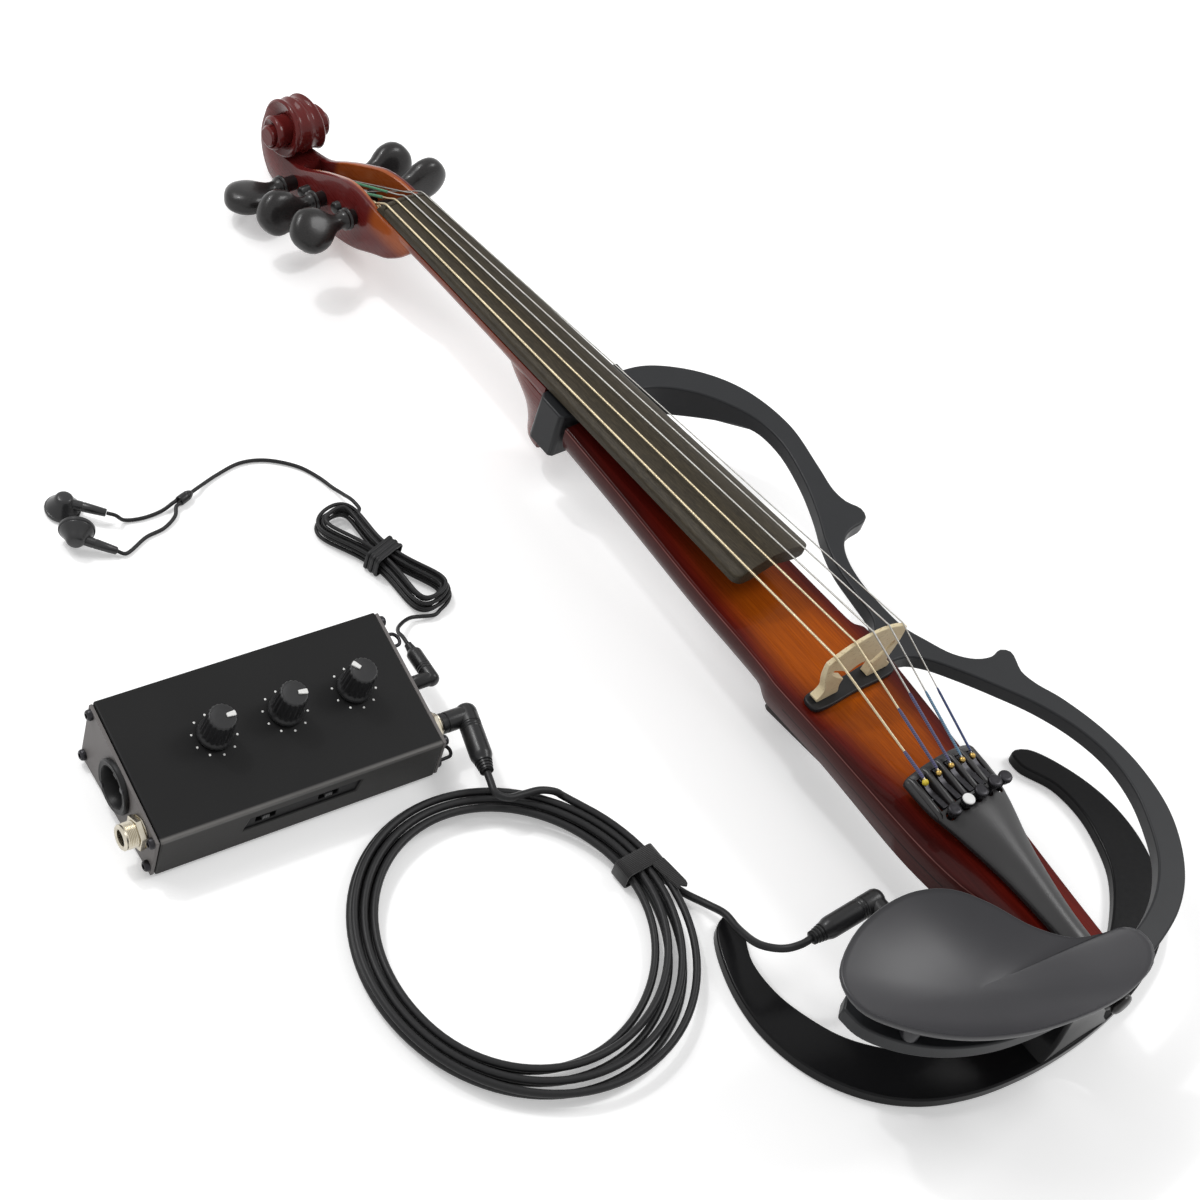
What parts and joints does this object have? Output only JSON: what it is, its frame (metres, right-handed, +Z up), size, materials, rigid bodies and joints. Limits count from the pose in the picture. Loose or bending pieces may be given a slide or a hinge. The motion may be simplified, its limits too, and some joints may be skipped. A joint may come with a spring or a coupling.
{
  "type": "electric violin",
  "caption": "Skeleton electric violin with curved frame arms, chin rest, tuning pegs and carved scroll, lying beside its control box, a coiled cable and a hanked earphone cord",
  "frame": {"origin": "on the table under the middle of the bounding box of the object's own pieces, cords left out", "axes": "+Y runs along the violin from its tail to its scroll, +Z is up from the table, +X is to the treble side of the violin; the control box and the cords lie on the -X side"},
  "size_m": [0.406, 0.6194, 0.0907],
  "materials": {
    "varnished_wood": "red-orange burst under clear gloss varnish",
    "dark_board": "dark, oiled",
    "pale_wood": "plain maple with fine flecks",
    "peg_wood": "black, half gloss",
    "cover_plastic": "fine satin",
    "satin_plastic": "satin",
    "gloss_black": "gloss",
    "grey_frame": "satin dark grey",
    "black_frame": "satin black",
    "string_steel": "fine wound steel, silk at both ends",
    "screw_metal": "plated",
    "box_paint": "black powder coat",
    "end_plastic": "fine grain",
    "knob_plastic": "satin with a white pointer",
    "switch_plastic": "satin",
    "board_green": "solder mask",
    "socket_metal": "black with bright pins",
    "jack_metal": "nickel",
    "cell_jacket": "printed film without any lettering",
    "plug_rubber": "moulded",
    "cord_jacket": "smooth jacket",
    "strap_fabric": "hook-and-loop weave",
    "earphone_plastic": "semi gloss"
  },
  "bodies": {
    "set": {"neck_and_scroll": "varnished_wood", "fingerboard": "dark_board", "nut": "dark_board", "body": "varnished_wood", "back_cover": "cover_plastic", "jack_housing": "satin_plastic", "bridge_base": "satin_plastic", "bridge": "pale_wood", "tailpiece": "satin_plastic", "tail_cord": "cord_jacket", "end_button": "gloss_black", "chin_rest": "satin_plastic", "upper_frame": "grey_frame", "lower_frame": "black_frame", "string_1": "string_steel", "string_2": "string_steel", "string_3": "string_steel", "string_4": "string_steel", "string_5": "string_steel", "circuit_board": "board_green", "box_shell": "box_paint", "box_base": "box_paint", "box_end_left": "end_plastic", "box_end_right": "end_plastic", "xlr_socket": "socket_metal", "line_jack": "jack_metal", "input_jack": "jack_metal", "phones_jack": "jack_metal", "battery_pack": "cell_jacket", "violin_plug": "plug_rubber", "box_plug": "plug_rubber", "phones_plug": "plug_rubber", "cable_lead": "cord_jacket", "cable_coil": "cord_jacket", "cable_tie": "strap_fabric", "cable_tail": "cord_jacket", "phones_lead": "cord_jacket", "phones_hank": "cord_jacket", "hank_tie": "cord_jacket", "phones_cord": "cord_jacket", "cord_splitter": "plug_rubber", "earphone_cord_1": "cord_jacket", "earphone_cord_2": "cord_jacket", "earphone_1": "earphone_plastic", "earphone_2": "earphone_plastic"},
    "peg_1": {"peg_1": "peg_wood"},
    "peg_2": {"peg_2": "peg_wood"},
    "peg_3": {"peg_3": "peg_wood"},
    "peg_4": {"peg_4": "peg_wood"},
    "peg_5": {"peg_5": "peg_wood"},
    "tuner_screw_1": {"tuner_screw_1": "screw_metal"},
    "tuner_screw_2": {"tuner_screw_2": "screw_metal"},
    "tuner_screw_3": {"tuner_screw_3": "screw_metal"},
    "tuner_screw_4": {"tuner_screw_4": "screw_metal"},
    "tuner_screw_5": {"tuner_screw_5": "screw_metal"},
    "bass_knob": {"bass_knob": "knob_plastic"},
    "treble_knob": {"treble_knob": "knob_plastic"},
    "volume_knob": {"volume_knob": "knob_plastic"},
    "switch_1": {"switch_1": "switch_plastic"},
    "switch_2": {"switch_2": "switch_plastic"}
  },
  "joints": [
    {"name": "peg_1_turn", "type": "hinge", "parent": "set", "child": "peg_1", "pos_m": [0.09401, 0.21871, 0.0355], "axis": [1, 0, 0], "continuous": true},
    {"name": "peg_2_turn", "type": "hinge", "parent": "set", "child": "peg_2", "pos_m": [0.09401, 0.23171, 0.0305], "axis": [1, 0, 0], "continuous": true},
    {"name": "peg_3_turn", "type": "hinge", "parent": "set", "child": "peg_3", "pos_m": [0.09401, 0.24471, 0.025], "axis": [1, 0, 0], "continuous": true},
    {"name": "peg_4_turn", "type": "hinge", "parent": "set", "child": "peg_4", "pos_m": [0.09401, 0.25721, 0.019], "axis": [1, 0, 0], "continuous": true},
    {"name": "peg_5_turn", "type": "hinge", "parent": "set", "child": "peg_5", "pos_m": [0.09401, 0.26971, 0.014], "axis": [1, 0, 0], "continuous": true},
    {"name": "tuner_screw_1_turn", "type": "hinge", "parent": "set", "child": "tuner_screw_1", "pos_m": [0.07961, -0.20629, 0.0655], "axis": [0, 0, 1], "continuous": true},
    {"name": "tuner_screw_2_turn", "type": "hinge", "parent": "set", "child": "tuner_screw_2", "pos_m": [0.08681, -0.20629, 0.0655], "axis": [0, 0, 1], "continuous": true},
    {"name": "tuner_screw_3_turn", "type": "hinge", "parent": "set", "child": "tuner_screw_3", "pos_m": [0.09401, -0.20629, 0.0655], "axis": [0, 0, 1], "continuous": true},
    {"name": "tuner_screw_4_turn", "type": "hinge", "parent": "set", "child": "tuner_screw_4", "pos_m": [0.10121, -0.20629, 0.0655], "axis": [0, 0, 1], "continuous": true},
    {"name": "tuner_screw_5_turn", "type": "hinge", "parent": "set", "child": "tuner_screw_5", "pos_m": [0.10841, -0.20629, 0.0655], "axis": [0, 0, 1], "continuous": true},
    {"name": "bass_knob_turn", "type": "hinge", "parent": "set", "child": "bass_knob", "pos_m": [-0.14892, -0.00936, 0.03054], "axis": [-0.0199, -0.1804, 0.9834], "range_deg": [-140, 160]},
    {"name": "treble_knob_turn", "type": "hinge", "parent": "set", "child": "treble_knob", "pos_m": [-0.11661, -0.01293, 0.03054], "axis": [-0.0199, -0.1804, 0.9834], "range_deg": [-130, 170]},
    {"name": "volume_knob_turn", "type": "hinge", "parent": "set", "child": "volume_knob", "pos_m": [-0.08431, -0.01649, 0.03054], "axis": [-0.0199, -0.1804, 0.9834], "range_deg": [-276, 24]},
    {"name": "switch_1_slide", "type": "slide", "parent": "set", "child": "switch_1", "axis": [0.994, -0.1097, 0], "range_m": [-0.0025, 0.0025]},
    {"name": "switch_2_slide", "type": "slide", "parent": "set", "child": "switch_2", "axis": [0.994, -0.1097, 0], "range_m": [-0.0025, 0.0025]}
  ]
}
